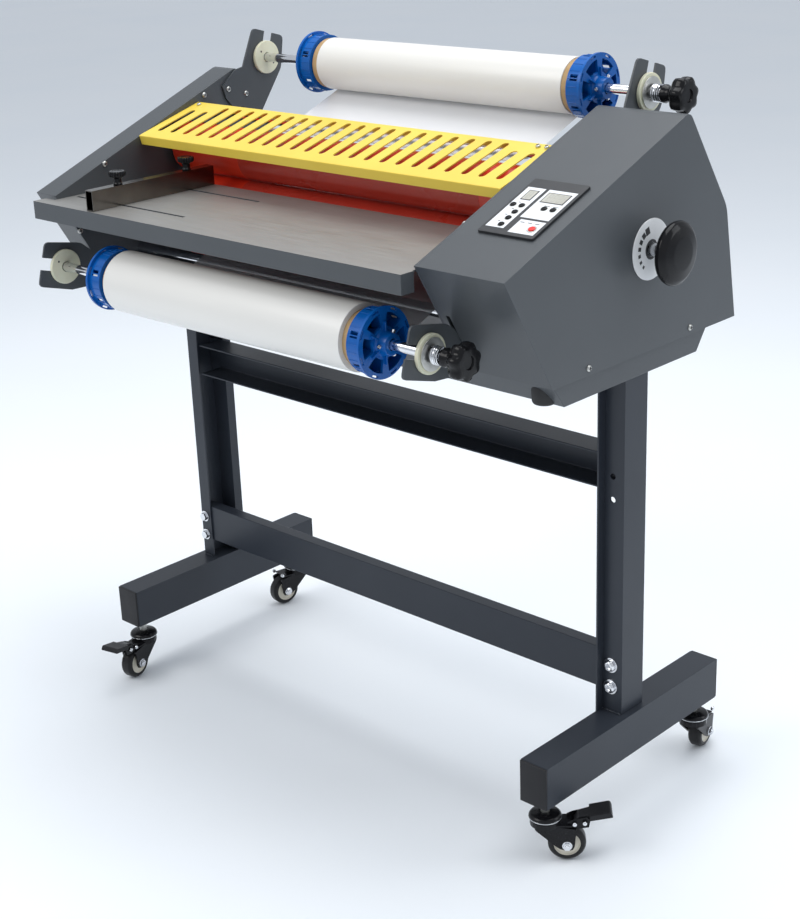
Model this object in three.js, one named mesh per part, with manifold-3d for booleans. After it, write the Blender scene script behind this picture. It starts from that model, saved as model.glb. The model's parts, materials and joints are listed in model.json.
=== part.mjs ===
// Roll laminator on a caster stand. Millimetres, +X to the operator's right, -Y towards the operator, +Z up.
// The driving sizes come first; every other place is worked out from them.
import * as THREE from "three";
import { mergeVertices } from "three/addons/utils/BufferGeometryUtils.js";
import Module from "manifold-3d";

const wasm = await Module();
wasm.setup();

// ---------- driving sizes ----------
const fit = 0.3; // gap between pieces that touch
const running = 0.4; // radial gap of a turning or sliding fit

// stand
const footWidth = 43;
const footHeight = 60;
const footLength = 383;
const tubeWall = 2.5;
const footFrontY = -283;
const uprightHeight = 468;
const uprightDepth = 47;
const uprightWideFlange = 33;
const uprightNarrowFlange = 22;
const uprightReturn = 13;
const uprightCentreY = -88.5;
const crossbarHeight = 59;
const crossbarDepth = 20;
const channelHeight = 49;
const crossbarLift = 29; // lower crossbar above the foot
const channelDrop = 104; // upper channel's top below the upright's top
const boltPitch = 32;
const boltHole = 8.6;

// casters
const wheelRadius = 25;
const wheelWidth = 20;
const axleRadius = 4;
const casterTrail = 28;
const casterInset = 22; // stem from the end of the foot
const raceRadius = 20;
const stemRadius = 6;
const stemReach = 26; // race to the underside of the foot
const forkGap = 1.5;
const cheek = 3;
const raceDepth = 9;

// machine
const bayWidth = 690; // clear width between the side plates
const bayLeft = -395;
const plate = 3;
const sheet = 2;
const leftCoverWidth = 45;
const rightCoverWidth = 135;
const tableThickness = 2;
const tableLip = 25;
const slotWidth = 5;
const rollerRadius = 36;
const journalRadius = 10;
const rollerY = -105;
const rollerEndGap = 10;
const nipGap = 0.8;
const pressureLift = 5;
const guardSlots = 24;
const guardSlotWidth = 10.4;
const idlerRadius = 9;

// film supply
const shaftRadius = 6.8;
const collarRadius = 8.4;
const hubRadius = 25;
const hubThickness = 5.5;
const chuckRadius = 45;
const chuckBody = 41;
const chuckNose = 28;
const coreRadius = 28.5;
const coreOuterRadius = 36;
const coreStickOut = 10;
const chuckStandOff = 36; // chuck flange to the end of the film
const filmRoom = 236; // bay width that the widest film leaves to the chucks and forks
const upperFilmRadius = 37.5;
const lowerFilmRadius = 43;
const springRadius = 10.5;
const springWire = 1.3;
const springLength = 17;

// controls
const panelWidth = 82;
const panelLength = 116;
const buttonRadius = 4.5;
const dialRadius = 38;
const pressureKnobRadius = 40;

// ---------- places worked out from the sizes ----------
const raceTop = wheelRadius * 2 + 3 + raceDepth;
const footBottom = raceTop + stemReach;
const footTop = footBottom + footHeight;
const footBackY = footFrontY + footLength;
const uprightTop = footTop + uprightHeight;
const bayRight = bayLeft + bayWidth;
const outerLeft = bayLeft - leftCoverWidth;
const outerRight = bayRight + rightCoverWidth;
const footX = { left: outerLeft + 28, right: outerRight - 18 };
const level = (height) => uprightTop + height; // heights on the machine count from the top of the stand
const tableTop = level(171);
const nipZ = tableTop + 3;
const lowerRollerZ = nipZ - rollerRadius;
const upperRollerZ = nipZ + nipGap + rollerRadius;
const tableFrontY = -374;
const tableBackY = rollerY - rollerRadius - 9;
const guardFold = { y: rollerY - rollerRadius - 52, z: nipZ + 2 * rollerRadius - 8 };
const guardRear = { y: rollerY + rollerRadius - 7, z: nipZ + 2 * rollerRadius + 25 };
const slopeTop = level(313);
const profile = [
  [-350, level(176)],
  [-265, level(30)],
  [120, level(30)],
  [93, level(181)],
  [5, slopeTop],
];
const lowerAxis = { y: -348, z: level(74) };
const upperAxis = { y: 62, z: level(321) };
const forkTilt = THREE.MathUtils.degToRad(16);
const slotHalf = collarRadius + running;

// ---------- solid helpers ----------
const solid = (geometry) => {
  const bare = geometry.index ? geometry.toNonIndexed() : geometry.clone();
  bare.deleteAttribute("normal");
  bare.deleteAttribute("uv");
  const merged = mergeVertices(bare, 1e-4);
  const kept = [];
  for (let i = 0; i < merged.index.count; i += 3) {
    const [a, b, c] = merged.index.array.slice(i, i + 3);
    if (a !== b && b !== c && c !== a) kept.push(a, b, c);
  }
  return new wasm.Manifold(new wasm.Mesh({
    numProp: 3,
    vertProperties: Float32Array.from(merged.attributes.position.array),
    triVerts: Uint32Array.from(kept),
  }));
};
const join = (...pieces) => pieces.reduce((whole, piece) => whole.add(piece));
const cut = (whole, ...tools) => tools.reduce((rest, tool) => rest.subtract(tool), whole);

const basis = (x, y, z) => new THREE.Matrix4().makeBasis(
  new THREE.Vector3(...x), new THREE.Vector3(...y), new THREE.Vector3(...z));
const alongX = basis([0, 1, 0], [0, 0, 1], [1, 0, 0]); // outline in (Y, Z), depth along X
const alongY = basis([1, 0, 0], [0, 0, 1], [0, -1, 0]); // outline in (X, Z), depth along -Y

const box = (x0, x1, y0, y1, z0, z1) => solid(
  new THREE.BoxGeometry(x1 - x0, y1 - y0, z1 - z0)
    .translate((x0 + x1) / 2, (y0 + y1) / 2, (z0 + z1) / 2));

const extrude = (shape, from, to, frame, arcSteps = 3) => {
  const geometry = new THREE.ExtrudeGeometry(
    shape, { depth: to - from, bevelEnabled: false, curveSegments: arcSteps });
  geometry.translate(0, 0, from);
  if (frame) geometry.applyMatrix4(frame);
  return solid(geometry);
};

// A closed outline of [u, v, corner radius] points.
const outline = (corners) => {
  const shape = new THREE.Shape();
  corners.forEach(([u, v, radius = 0], i) => {
    const here = new THREE.Vector2(u, v);
    const before = corners.at(i - 1);
    const after = corners[(i + 1) % corners.length];
    const towards = ([pu, pv]) => new THREE.Vector2(pu, pv).sub(here).setLength(radius || 1e-9).add(here);
    const start = radius ? towards(before) : here;
    if (i === 0) shape.moveTo(start.x, start.y);
    else shape.lineTo(start.x, start.y);
    if (radius) {
      const end = towards(after);
      shape.quadraticCurveTo(u, v, end.x, end.y);
    }
  });
  shape.closePath();
  return shape;
};

// Each edge of an anticlockwise outline moved inwards by its own distance.
const inset = (points, distances) => {
  const edges = points.map(([u, v], i) => {
    const [nu, nv] = points[(i + 1) % points.length];
    const length = Math.hypot(nu - u, nv - v);
    const du = (nu - u) / length;
    const dv = (nv - v) / length;
    return { u: u - dv * distances[i], v: v + du * distances[i], du, dv };
  });
  return edges.map((edge, i) => {
    const last = edges.at(i - 1);
    const cross = last.du * edge.dv - last.dv * edge.du;
    const t = ((edge.u - last.u) * edge.dv - (edge.v - last.v) * edge.du) / cross;
    return [last.u + last.du * t, last.v + last.dv * t];
  });
};

const rodX = (radius, x0, x1, y, z, sides = 20) => solid(
  new THREE.CylinderGeometry(radius, radius, x1 - x0, sides)
    .rotateZ(-Math.PI / 2)
    .translate((x0 + x1) / 2, y, z));
const rodY = (radius, x, y0, y1, z, sides = 16) => solid(
  new THREE.CylinderGeometry(radius, radius, y1 - y0, sides).translate(x, (y0 + y1) / 2, z));
const rodZ = (radius, x, y, z0, z1, sides = 20) => solid(
  new THREE.CylinderGeometry(radius, radius, z1 - z0, sides)
    .rotateX(Math.PI / 2)
    .translate(x, y, (z0 + z1) / 2));

// A closed profile of [radius, x] points turned about the line (y, z) along X.
const turnX = (points, y, z, sides = 28) => solid(
  new THREE.LatheGeometry([...points, points[0]].map(([r, x]) => new THREE.Vector2(r, x)), sides)
    .rotateZ(-Math.PI / 2)
    .translate(0, y, z));

// ---------- scene graph ----------
const machine = new THREE.Group();
const paints = {
  frame: { color: 0x4a5058, roughness: 0.55, metalness: 0.2 },
  steel: { color: 0xb9bcc0, roughness: 0.3, metalness: 1 },
  brushed: { color: 0x9a9893, roughness: 0.4, metalness: 0.9 },
  yellow: { color: 0xe0c02c, roughness: 0.5, metalness: 0.1 },
  silicone: { color: 0xb01f12, roughness: 0.45, metalness: 0 },
  black: { color: 0x16171a, roughness: 0.4, metalness: 0 },
  rubber: { color: 0x1a1b1e, roughness: 0.7, metalness: 0 },
  blue: { color: 0x1356b8, roughness: 0.4, metalness: 0 },
  nylon: { color: 0xe6e0c8, roughness: 0.5, metalness: 0 },
  film: { color: 0xf2efe8, roughness: 0.35, metalness: 0 },
  red: { color: 0xe02018, roughness: 0.35, metalness: 0 },
};
const toMesh = (name, piece, paint) => {
  const { vertProperties, triVerts } = piece.getMesh();
  const geometry = new THREE.BufferGeometry();
  geometry.setAttribute("position", new THREE.BufferAttribute(Float32Array.from(vertProperties), 3));
  geometry.setIndex(new THREE.BufferAttribute(Uint32Array.from(triVerts), 1));
  geometry.computeVertexNormals();
  const mesh = new THREE.Mesh(geometry, new THREE.MeshStandardMaterial(paints[paint]));
  mesh.name = name;
  return mesh;
};
const place = (name, piece, paint, group = machine) => group.add(toMesh(name, piece, paint));

// ---------- stand ----------
const stemY = { front: footFrontY + casterInset, rear: footBackY - casterInset };

for (const side of ["left", "right"]) {
  const x = footX[side];
  const half = footWidth / 2;
  const tube = cut(
    box(x - half, x + half, footFrontY, footBackY, footBottom, footTop),
    box(x - half + tubeWall, x + half - tubeWall, footFrontY - 1, footBackY + 1,
      footBottom + tubeWall, footTop - tubeWall));
  place(`foot_${side}`, tube, "frame");
}

// The upright is a folded channel, open inwards. Its wide flange is at the front on the right-hand
// stand leg and at the rear on the left-hand one, because both legs are the same part turned round.
const uprightSection = (() => {
  const half = uprightDepth / 2;
  const inner = -uprightWideFlange;
  return outline([
    [0, half], [-uprightNarrowFlange, half], [-uprightNarrowFlange, half - tubeWall],
    [-tubeWall, half - tubeWall], [-tubeWall, -half + tubeWall], [inner, -half + tubeWall],
    [inner, -half - uprightReturn], [inner + tubeWall, -half - uprightReturn],
    [inner + tubeWall, -half], [0, -half],
  ]);
})();
const uprightOuter = { left: footX.left - 11.4, right: footX.right + 11.4 };
const boltOffset = (uprightWideFlange + tubeWall) / 2;
const crossbarBottom = footTop + crossbarLift;
const channelTop = uprightTop - channelDrop;
const lowerBolts = [-1, 1].map((sign) => crossbarBottom + crossbarHeight / 2 - 5 + (sign * boltPitch) / 2);
const upperHoles = [-1, 1].map((sign) => channelTop - channelHeight + 6 + (sign * boltPitch) / 2);

for (const side of ["left", "right"]) {
  const turn = side === "right" ? 1 : -1;
  const holes = [...lowerBolts, ...upperHoles].map((z) => rodY(
    boltHole / 2, -boltOffset, -uprightDepth / 2 - 5, -uprightDepth / 2 + tubeWall + 5, z, 10));
  const post = cut(extrude(uprightSection, footTop + fit, uprightTop - plate), ...holes);
  const cap = box(-uprightWideFlange - 8, 0, -uprightDepth / 2, uprightDepth / 2,
    uprightTop - plate - 0.01, uprightTop - fit);
  const leg = join(post, cap)
    .rotate([0, 0, side === "right" ? 0 : 180])
    .translate([turn > 0 ? uprightOuter.right : uprightOuter.left, uprightCentreY, 0]);
  place(`upright_${side}`, leg, "frame");
}

const barLeft = uprightOuter.left + tubeWall + fit;
const barRight = uprightOuter.right - tubeWall - fit;
const barFront = uprightCentreY - uprightDepth / 2 + tubeWall + fit;
const barBack = uprightCentreY + uprightDepth / 2 - tubeWall - fit;
place("crossbar_lower", cut(
  box(barLeft, barRight, barFront, barFront + crossbarDepth, crossbarBottom, crossbarBottom + crossbarHeight),
  box(barLeft - 1, barRight + 1, barFront + tubeWall, barFront + crossbarDepth - tubeWall,
    crossbarBottom + tubeWall, crossbarBottom + crossbarHeight - tubeWall)), "frame");
place("crossbar_upper", cut(
  box(barLeft, barRight, barFront, barBack, channelTop - channelHeight, channelTop),
  box(barLeft - 1, barRight + 1, barFront - 1, barBack - tubeWall,
    channelTop - channelHeight + tubeWall, channelTop - tubeWall),
  box(barLeft - 1, barLeft + uprightNarrowFlange, barFront - 1, barBack - tubeWall,
    channelTop - channelHeight - 1, channelTop + 1)), "frame");

// ---------- casters ----------
// Each caster is drawn about its own stem at x = y = 0, trailing along +X, then turned to its heading.
const raceBottom = raceTop - raceDepth;
const casterStem = () => join(
  rodZ(stemRadius, 0, 0, raceTop - 3, footBottom - 3, 14),
  rodZ(raceRadius * 0.82, 0, 0, raceTop - 3, raceTop + 2, 20),
  solid(new THREE.CylinderGeometry(10, 10, 6 - fit, 6).rotateX(Math.PI / 2)
    .translate(0, 0, footBottom - 3 - fit / 2)),
);
const casterFork = () => {
  const outside = wheelWidth / 2 + forkGap + cheek;
  const side = outline([
    [-raceRadius * 0.7, raceBottom], [-raceRadius * 0.7, raceBottom - 4, 3],
    [casterTrail - 9, wheelRadius - 6, 6], [casterTrail + 9, wheelRadius - 8, 7],
    [casterTrail + 11, wheelRadius + 14], [casterTrail + 13, raceBottom - 4, 3], [raceRadius * 0.8, raceBottom],
  ]);
  const cheekAt = (y) => extrude(side, y, y + cheek, alongY, 2);
  const crown = cut(
    join(rodZ(raceRadius, 0, 0, raceBottom - 2, raceTop - 3 - fit, 20),
      box(0, casterTrail + 6, -outside, outside, raceBottom - 0.01, raceBottom + 2)),
    rodZ(stemRadius + 4, 0, 0, raceTop - 6, raceTop, 10));
  return join(
    crown,
    cheekAt(wheelWidth / 2 + forkGap),
    cheekAt(-outside),
    rodY(axleRadius, casterTrail, -outside - 3, outside + 3, wheelRadius, 10),
  );
};
const casterWheel = () => solid(
  new THREE.LatheGeometry([
    [axleRadius + running, -wheelWidth / 2], [wheelRadius - 3, -wheelWidth / 2],
    [wheelRadius, -wheelWidth / 2 + 4], [wheelRadius, wheelWidth / 2 - 4],
    [wheelRadius - 3, wheelWidth / 2], [axleRadius + running, wheelWidth / 2],
    [axleRadius + running, -wheelWidth / 2],
  ].map(([r, h]) => new THREE.Vector2(r, h)), 26).translate(casterTrail, 0, wheelRadius));
const pedalPivot = { x: casterTrail + 13, z: wheelRadius * 2 + 9 };
const brakePedal = () => {
  const half = wheelWidth / 2 - 1;
  const lever = outline([
    [pedalPivot.x - 4, pedalPivot.z - 3], [pedalPivot.x + 8, pedalPivot.z - 2],
    [pedalPivot.x + 18, pedalPivot.z + 4], [pedalPivot.x + 46, pedalPivot.z + 9, 2],
    [pedalPivot.x + 43, pedalPivot.z + 16, 3], [pedalPivot.x + 18, pedalPivot.z + 11],
    [pedalPivot.x + 2, pedalPivot.z + 6],
  ]);
  const paddle = outline([
    [pedalPivot.x + 16, pedalPivot.z + 3.4], [pedalPivot.x + 46, pedalPivot.z + 9, 2],
    [pedalPivot.x + 43, pedalPivot.z + 16, 3], [pedalPivot.x + 16, pedalPivot.z + 10.5],
  ]);
  return join(extrude(lever, -half, half, alongY), extrude(paddle, -half - 6, half + 6, alongY));
};

const headings = { front_right: 40, front_left: -77, rear_right: 100, rear_left: -100 };
for (const [corner, heading] of Object.entries(headings)) {
  const [end, side] = corner.split("_");
  const caster = new THREE.Group();
  caster.position.set(footX[side], stemY[end], 0);
  caster.rotation.z = THREE.MathUtils.degToRad(heading);
  place(`caster_stem_${corner}`, casterStem(), "steel", caster);
  place(`caster_fork_${corner}`, casterFork(), "black", caster);
  place(`caster_wheel_${corner}`, casterWheel(), "rubber", caster);
  if (end === "front") place(`brake_pedal_${corner}`, brakePedal(), "black", caster);
  machine.add(caster);
}

// ---------- base tray and side plates ----------
const trayTop = level(30) - fit;
const trayBottom = level(0);
const traySection = (wall) => outline(wall
  ? inset([[-258, trayTop], [-236, trayBottom], [40, trayBottom], [62, trayTop]], [sheet, sheet, sheet, -5])
  : [[-258, trayTop], [-236, trayBottom], [40, trayBottom], [62, trayTop]]);
place("base_tray", cut(
  extrude(traySection(false), outerLeft + 7, outerRight - 5, alongX),
  extrude(traySection(true), outerLeft + 7 + sheet, outerRight - 5 - sheet, alongX)), "frame");

// A fork plate that carries a supply shaft: u runs towards the open end of the slot, v across it.
const forkOutline = (tail) => outline([
  [38, 33, 7], [-20, 33], [-tail, 18, 6], [-tail, -12, 6], [-24, -36, 6], [38, -31, 7],
]);
const leaningForkOutline = () => outline([
  [38, 33, 7], [-22, 42, 8], [-70, 40, 8], [-94, 16, 8], [-92, -6, 6], [-10, -37, 6], [38, -31, 7],
]);
const slotOutline = () => {
  const shape = new THREE.Shape();
  shape.absarc(0, 0, slotHalf, Math.PI / 2, -Math.PI / 2 + 2 * Math.PI, false);
  shape.lineTo(60, -slotHalf);
  shape.lineTo(60, slotHalf);
  shape.closePath();
  return shape;
};
// Turns an outline drawn in (u, v) to the given direction about an axis along X.
const about = (piece, axis, angle) => piece
  .rotate([THREE.MathUtils.radToDeg(angle), 0, 0])
  .translate([0, axis.y, axis.z]);
const lowerDirection = Math.PI - forkTilt;
const upperDirection = Math.PI / 2 - forkTilt;
const forkPlate = (shape, axis, angle, x0) => cut(
  about(extrude(shape, x0, x0 + plate, alongX), axis, angle),
  about(extrude(slotOutline(), x0 - 1, x0 + plate + 1, alongX, 5), axis, angle));

const profileOutline = (bend) => outline(profile.map(([y, z], i) => [y, z, i > 2 ? bend : 0]));
const carriageWindow = { halfWidth: journalRadius + 3, below: journalRadius + 3, above: journalRadius + 3 + pressureLift };
const idlers = {
  idler_lower: { y: -205, z: level(74) },
  idler_upper: { y: rollerY + rollerRadius + 29, z: upperRollerZ + rollerRadius + 4 },
};
const stubRadius = 4;
const plateHoles = (x0) => [
  rodX(journalRadius + running, x0 - 1, x0 + plate + 1, rollerY, lowerRollerZ, 20),
  box(x0 - 1, x0 + plate + 1, rollerY - carriageWindow.halfWidth, rollerY + carriageWindow.halfWidth,
    upperRollerZ - carriageWindow.below, upperRollerZ + carriageWindow.above),
  ...Object.values(idlers).map(({ y, z }) => rodX(stubRadius + running, x0 - 1, x0 + plate + 1, y, z, 12)),
];
const leftPlateX = bayLeft - plate;
place("side_plate_left", cut(
  join(extrude(profileOutline(10), leftPlateX, bayLeft, alongX),
    about(extrude(forkOutline(78), leftPlateX, bayLeft, alongX), lowerAxis, lowerDirection)),
  about(extrude(slotOutline(), leftPlateX - 1, bayLeft + 1, alongX, 5), lowerAxis, lowerDirection),
  ...plateHoles(leftPlateX)), "frame");
const pressureAxis = { y: -74, z: level(159) };
const knobShaftRadius = 6;
place("side_plate_right", cut(
  extrude(profileOutline(10), bayRight, bayRight + plate, alongX),
  ...plateHoles(bayRight)), "frame");

const standoff = (x0, x1, axis, angle, u, v) => about(rodX(6.5, x0, x1, u, v, 12), axis, angle);
const plateSeat = bayRight + plate + fit;
const lowerForkX = plateSeat + 11;
const upperForkX = plateSeat + 25;
place("supply_fork_upper_left", forkPlate(leaningForkOutline(), upperAxis, upperDirection, bayLeft + fit), "frame");
place("supply_fork_upper_right", join(
  forkPlate(leaningForkOutline(), upperAxis, upperDirection, upperForkX),
  ...[[-60, 32], [-82, 6]].map(([u, v]) => standoff(plateSeat, upperForkX + 1, upperAxis,
    upperDirection, u, v))), "frame");
place("supply_fork_lower_right", join(
  forkPlate(forkOutline(96), lowerAxis, lowerDirection, lowerForkX),
  ...[[-70, 8], [-86, -4]].map(([u, v]) => standoff(plateSeat, lowerForkX + 1, lowerAxis,
    lowerDirection, u, v))), "frame");

// ---------- covers ----------
const shellInside = () => outline(inset(profile, [sheet, -20, sheet, sheet, sheet])
  .map(([y, z], i) => [y, z, i > 2 ? 8 : 0]));
const coverShell = (from, to, open) => cut(
  extrude(profileOutline(10), from, to, alongX),
  extrude(shellInside(), open < 0 ? from - 1 : from + sheet, open < 0 ? to - sheet : to + 1, alongX));
const leftShell = coverShell(outerLeft, leftPlateX - fit, 1);
place("cover_left", leftShell, "frame");
const forkClearance = 1.5;
place("cover_right", cut(
  coverShell(plateSeat, outerRight, -1),
  box(lowerForkX - forkClearance, lowerForkX + plate + forkClearance, -330, -255, level(20), level(110)),
  box(upperForkX - forkClearance, upperForkX + plate + forkClearance, 7, 100, level(225), slopeTop + 10),
  rodX(knobShaftRadius + 1, outerRight - sheet - 1, outerRight + 1, pressureAxis.y, pressureAxis.z, 16),
), "frame");

// ---------- feed table and side guide ----------
const tableRun = { left: bayLeft + fit, right: bayRight - fit };
const shoulderY = profile[0][0] - 2;
const guideX = bayLeft + 107;
const guideWidth = 15;
const guideHeight = 28;
const clampNeck = 11; // guide to the underside of a clamp knob
const guideWall = 1.2;
const clampY = { front: tableFrontY + 55, rear: tableBackY - 46 };
const slotEnds = { left: bayLeft + 10, front: bayLeft + 245, rear: bayLeft + 258 };
place("feed_table", cut(
  join(
    box(tableRun.left, tableRun.right, shoulderY - 1, tableBackY, tableTop - tableThickness, tableTop),
    box(bayLeft - 20, bayRight + 2, tableFrontY, shoulderY, tableTop - tableThickness, tableTop),
    box(bayLeft - 20, bayRight + 2, tableFrontY, tableFrontY + tableThickness, tableTop - tableLip, tableTop),
    box(bayLeft - 20, bayLeft - 20 + tableThickness, tableFrontY, shoulderY, tableTop - tableLip, tableTop),
    box(bayRight + 2 - tableThickness, bayRight + 2, tableFrontY, shoulderY, tableTop - tableLip, tableTop),
    box(bayLeft - 20, bayRight + 2, tableFrontY, tableFrontY + 14, tableTop - tableLip, tableTop - tableLip + 2),
    box(tableRun.left, tableRun.right, tableBackY - 2, tableBackY, tableTop - 14, tableTop)),
  ...["front", "rear"].map((end) => box(slotEnds.left, slotEnds[end], clampY[end] - slotWidth / 2,
    clampY[end] + slotWidth / 2, tableTop - 5, tableTop + 1)),
), "brushed");

const guideBottom = tableTop + fit;
const guideTop = guideBottom + guideHeight;
const studRadius = slotWidth / 2 - running;
place("side_guide", cut(
  box(guideX - guideWidth / 2, guideX + guideWidth / 2, tableFrontY + 4, tableBackY - 2, guideBottom, guideTop),
  box(guideX - guideWidth / 2 + guideWall, guideX + guideWidth / 2 - guideWall, tableFrontY, tableBackY,
    guideBottom + guideWall, guideTop - guideWall),
  ...["front", "rear"].map((end) => rodZ(studRadius + running, guideX, clampY[end],
    guideBottom - 1, guideTop + 1, 12)),
), "steel");
for (const end of ["front", "rear"]) {
  const lobes = 10;
  const head = new THREE.Shape();
  for (let i = 0; i < lobes * 2; i += 1) {
    const angle = (i * Math.PI) / lobes;
    const radius = i % 2 ? 10.8 : 12;
    if (i) head.lineTo(Math.cos(angle) * radius, Math.sin(angle) * radius);
    else head.moveTo(radius, 0);
  }
  head.closePath();
  place(`guide_clamp_${end}`, join(
    extrude(head, guideTop + clampNeck, guideTop + clampNeck + 8).translate([guideX, clampY[end], 0]),
    rodZ(6.5, guideX, clampY[end], guideTop + fit, guideTop + clampNeck + 0.5, 14),
    rodZ(studRadius, guideX, clampY[end], tableTop - 12, guideTop + 1, 12),
  ), "black");
}

// ---------- heat guard ----------
const guardThickness = 1.5;
const guardLeft = bayLeft + fit + 0.5;
const guardRight = bayRight - fit - 0.5;
const guardAngle = Math.atan2(guardRear.z - guardFold.z, guardRear.y - guardFold.y);
const guardDepth = Math.hypot(guardRear.z - guardFold.z, guardRear.y - guardFold.y);
const guardSheet = (() => {
  const t = guardThickness;
  const section = outline([
    [0, 0, 1.2], [0, -14], [t, -14], [t, -t], [guardDepth - t, -t], [guardDepth - t, -12],
    [guardDepth, -12], [guardDepth, 0, 1.2],
  ]);
  return extrude(section, guardLeft, guardRight, alongX, 2);
})();
const guardPitch = (guardRight - guardLeft) / (guardSlots + 0.5);
const guardSlot = (index) => {
  const short = index < 2 || index >= guardSlots - 2;
  const x = guardLeft + guardPitch * (index + 0.75);
  const front = 26;
  const rear = guardDepth - (short ? 32 : 14);
  const half = guardSlotWidth / 2;
  const shape = new THREE.Shape();
  shape.absarc(x, front, half, Math.PI, 2 * Math.PI, false);
  shape.absarc(x, rear, half, 0, Math.PI, false);
  shape.closePath();
  return extrude(shape, -guardThickness - 1, 1, undefined, 2);
};
place("heat_guard", cut(guardSheet, ...Array.from({ length: guardSlots }, (_, i) => guardSlot(i)))
  .rotate([THREE.MathUtils.radToDeg(guardAngle), 0, 0])
  .translate([0, guardFold.y, guardFold.z]), "yellow");

// ---------- laminating rollers and pressure carriages ----------
const rollerLeft = bayLeft + rollerEndGap;
const rollerRight = bayRight - rollerEndGap;
const carriageDepth = 12;
const carriageLeft = leftPlateX - fit - carriageDepth;
const carriageRight = plateSeat;
const roller = (z, journalLeft, journalRight) => join(
  rodX(rollerRadius, rollerLeft, rollerRight, rollerY, z, 32),
  rodX(journalRadius + 6, rollerLeft - 4, rollerRight + 4, rollerY, z, 16),
  rodX(journalRadius, journalLeft, journalRight, rollerY, z, 16));
place("roller_lower", roller(lowerRollerZ, leftPlateX - 10, bayRight + 40), "silicone");
place("roller_upper", roller(upperRollerZ, carriageLeft - 2, carriageRight + carriageDepth + 4), "silicone");
for (const [side, x0] of [["left", carriageLeft], ["right", carriageRight]]) {
  place(`carriage_${side}`, cut(
    box(x0, x0 + carriageDepth, rollerY - 22, rollerY + 22, upperRollerZ - 22, upperRollerZ + 22),
    rodX(journalRadius + running, x0 - 1, x0 + carriageDepth + 1, rollerY, upperRollerZ, 20),
  ), "steel");
}

for (const [name, { y, z }] of Object.entries(idlers)) {
  place(name, join(
    rodX(idlerRadius, bayLeft + 2, bayRight - 2, y, z, 20),
    rodX(stubRadius, leftPlateX - 4, bayRight + plate + 4, y, z, 12)), "steel");
}

// ---------- film supply ----------
const chuck = (axis, face, towardsRoll) => {
  const s = towardsRoll;
  const at = (r, d) => [r, face + s * d];
  const points = [
    at(shaftRadius + running, -14), at(14, -14), at(15, 0), at(chuckRadius, 0),
    at(chuckRadius, 4), at(chuckBody, 6), at(chuckBody, 25), at(chuckNose, 25), at(chuckNose, 44),
    at(chuckNose - 3, 44), at(chuckNose - 3, 21), at(36, 21), at(36, 4), at(18, 4),
    at(18, 30), at(shaftRadius + running, 30),
  ];
  const body = turnX(s > 0 ? points : [...points].reverse(), axis.y, axis.z, 22);
  const windows = Array.from({ length: 6 }, (_, i) => {
    const shape = new THREE.Shape();
    const from = (i * Math.PI) / 3 + 0.16;
    const to = ((i + 1) * Math.PI) / 3 - 0.16;
    shape.absarc(0, 0, 35.5, from, to, false);
    shape.absarc(0, 0, 27, to, from, true);
    shape.closePath();
    return extrude(shape, Math.min(face - s, face + s * 5), Math.max(face - s, face + s * 5), alongX, 1)
      .translate([0, axis.y, axis.z]);
  });
  return cut(body, ...windows);
};
const hub = (axis, x0, collarBack) => cut(
  join(rodX(hubRadius, x0, x0 + hubThickness, axis.y, axis.z, 24),
    rodX(collarRadius, x0 - collarBack, x0 + 1, axis.y, axis.z, 16)),
  rodX(shaftRadius + running, x0 - collarBack - 1, x0 + hubThickness + 1, axis.y, axis.z, 16));
class Helix extends THREE.Curve {
  constructor(turns, length, radius) {
    super();
    Object.assign(this, { turns, length, radius });
  }

  getPoint(t) {
    const angle = t * this.turns * 2 * Math.PI;
    return new THREE.Vector3(t * this.length, Math.cos(angle) * this.radius, Math.sin(angle) * this.radius);
  }
}
const circle = (radius, sides) => {
  const shape = new THREE.Shape();
  for (let i = 0; i < sides; i += 1) {
    const angle = (i * 2 * Math.PI) / sides;
    if (i) shape.lineTo(radius * Math.cos(angle), radius * Math.sin(angle));
    else shape.moveTo(radius, 0);
  }
  shape.closePath();
  return shape;
};
const spring = (axis, x0) => {
  const inner = springLength - 2 * springWire - 2 * fit;
  const path = new Helix(4, inner, springRadius);
  return solid(new THREE.ExtrudeGeometry(circle(springWire, 5), {
    steps: 32, bevelEnabled: false, extrudePath: path,
  }).translate(x0 + springWire + fit, axis.y, axis.z));
};
const tensionKnob = (axis, x0) => {
  const lobes = 8;
  const star = new THREE.Shape();
  for (let i = 0; i < lobes * 4; i += 1) {
    const angle = (i * 2 * Math.PI) / (lobes * 4);
    const radius = 22.5 + 1.8 * Math.cos(angle * lobes);
    if (i) star.lineTo(radius * Math.cos(angle), radius * Math.sin(angle));
    else star.moveTo(radius, 0);
  }
  star.closePath();
  return cut(
    join(
      extrude(star, x0 + 20, x0 + 38, alongX).translate([0, axis.y, axis.z]),
      rodX(12, x0, x0 + 20.5, axis.y, axis.z, 18)),
    rodX(shaftRadius + running, x0 - 1, x0 + 26, axis.y, axis.z, 16));
};
const washer = 2;
const supplies = {
  upper: { axis: upperAxis, plateLeft: bayLeft + fit, plateRight: upperForkX, radius: upperFilmRadius, filmLeft: bayLeft + 156 },
  lower: { axis: lowerAxis, plateLeft: leftPlateX, plateRight: lowerForkX, radius: lowerFilmRadius, filmLeft: bayLeft + 147 },
};
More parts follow.
